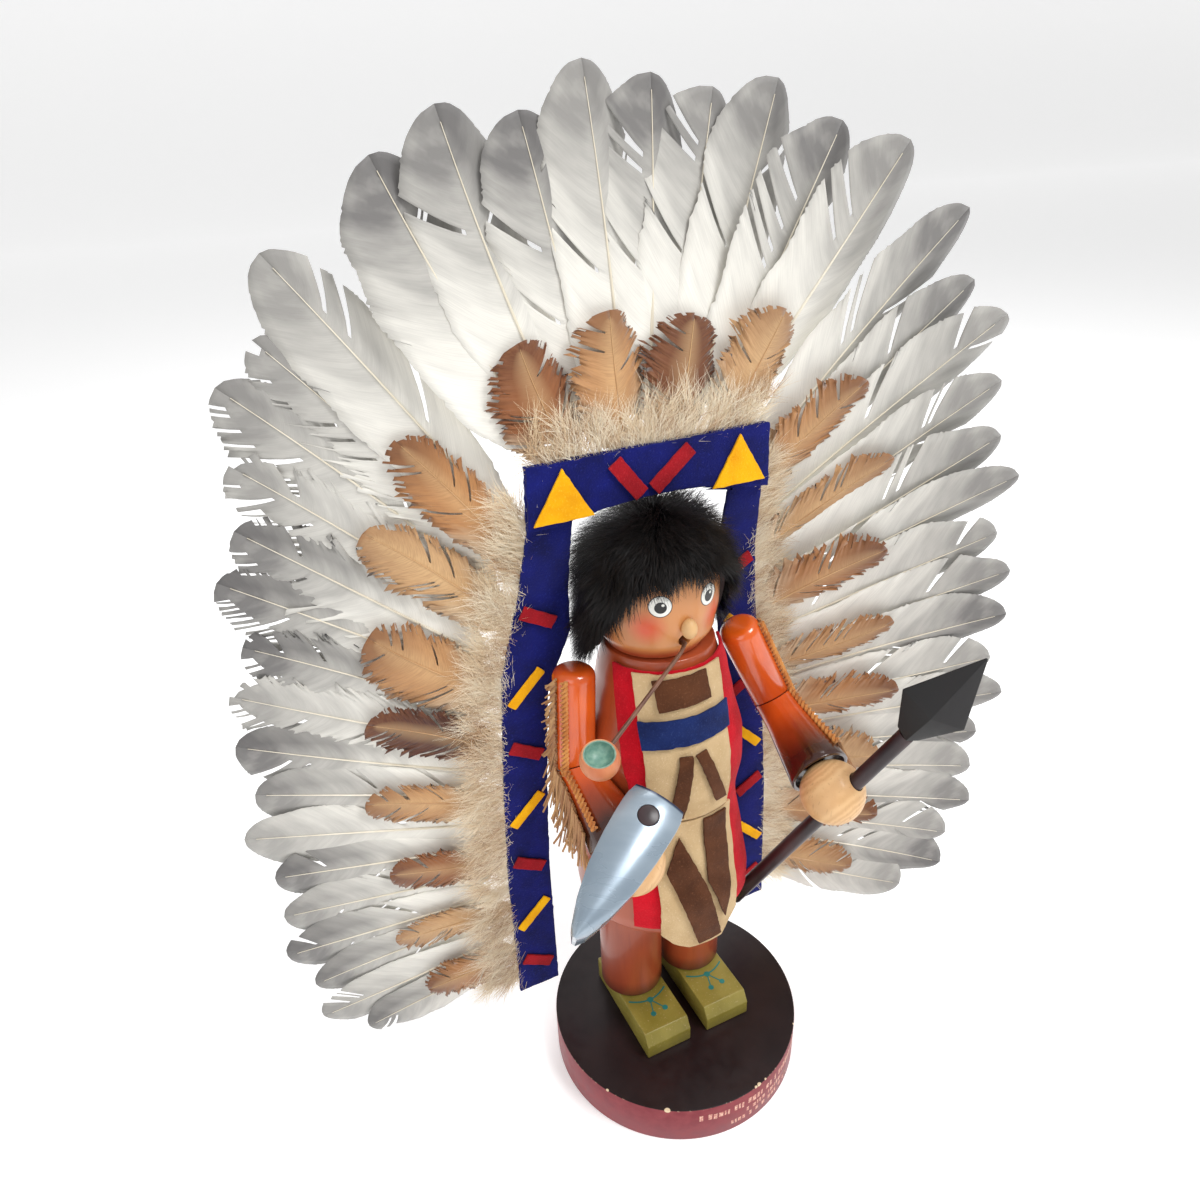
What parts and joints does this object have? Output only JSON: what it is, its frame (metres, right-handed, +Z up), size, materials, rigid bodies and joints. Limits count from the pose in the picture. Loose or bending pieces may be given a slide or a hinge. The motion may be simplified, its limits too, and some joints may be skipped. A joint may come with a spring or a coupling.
{
  "type": "incense smoker figure",
  "caption": "Turned wooden incense smoker figure on a round plinth, with a feathered felt headdress, a pipe, a spear and a hatchet.",
  "frame": {"origin": "centre of the plinth's flat underside", "axes": "+Z up, -Y the way the figure faces, +X the figure's left"},
  "size_m": [0.2529, 0.1056, 0.3173],
  "materials": {
    "plinth": "painted side and dark painted top",
    "shoe_paint": "satin paint",
    "leg_stain": "clear satin varnish over stain",
    "body_stain": "clear satin varnish over stain",
    "natural_wood": "bare, fine grain",
    "arm_stain": "gloss varnish over stain",
    "fur": "short pile fur",
    "black_paint": "satin paint",
    "blade_paint": "gloss paint",
    "dark_stain": "stained",
    "red_felt": "felt",
    "yellow_felt": "felt",
    "blue_felt": "felt",
    "tan_suede": "suede",
    "brown_felt": "felt",
    "fringe_suede": "cut suede strands and braid",
    "quill_feather": "barbed quill feathers with grey ends",
    "plume_feather": "soft barred plumes"
  },
  "bodies": {
    "root": {"plinth": "plinth", "shoe_right": "shoe_paint", "shoe_left": "shoe_paint", "leg_right": "leg_stain", "leg_left": "leg_stain", "lower_body": "body_stain", "upper_body": "body_stain", "head": "body_stain", "nose": "natural_wood", "hand_right": "natural_wood", "hand_left": "natural_wood", "pipe_bowl": "natural_wood", "upper_arm_right": "arm_stain", "forearm_right": "arm_stain", "upper_arm_left": "arm_stain", "forearm_left": "arm_stain", "hair": "fur", "spear_shaft": "black_paint", "spear_head": "black_paint", "hatchet_handle": "black_paint", "hatchet_head": "blade_paint", "pipe_stem": "dark_stain", "bib_red": "red_felt", "apron_red": "red_felt", "band_dash_right": "red_felt", "band_dash_left": "red_felt", "strip_dash_right_1": "red_felt", "strip_dash_right_3": "red_felt", "strip_dash_right_5": "red_felt", "strip_dash_right_7": "red_felt", "strip_dash_left_1": "red_felt", "strip_dash_left_3": "red_felt", "strip_dash_left_5": "red_felt", "strip_dash_left_7": "red_felt", "band_triangle_right": "yellow_felt", "band_triangle_left": "yellow_felt", "strip_dash_right_2": "yellow_felt", "strip_dash_right_4": "yellow_felt", "strip_dash_right_6": "yellow_felt", "strip_dash_left_2": "yellow_felt", "strip_dash_left_4": "yellow_felt", "strip_dash_left_6": "yellow_felt", "headdress_felt": "blue_felt", "headdress_band": "blue_felt", "bib_band": "blue_felt", "bib_tan": "tan_suede", "apron_tan": "tan_suede", "bib_patch": "brown_felt", "bib_strip_right": "brown_felt", "bib_strip_left": "brown_felt", "apron_strip_right": "brown_felt", "apron_strip_left": "brown_felt", "fringe_right": "fringe_suede", "fringe_left": "fringe_suede", "quills_right": "quill_feather", "quills_left": "quill_feather", "quills_crown": "quill_feather", "plumes_right": "plume_feather", "plumes_left": "plume_feather", "plumes_crown": "plume_feather"}
  },
  "joints": []
}
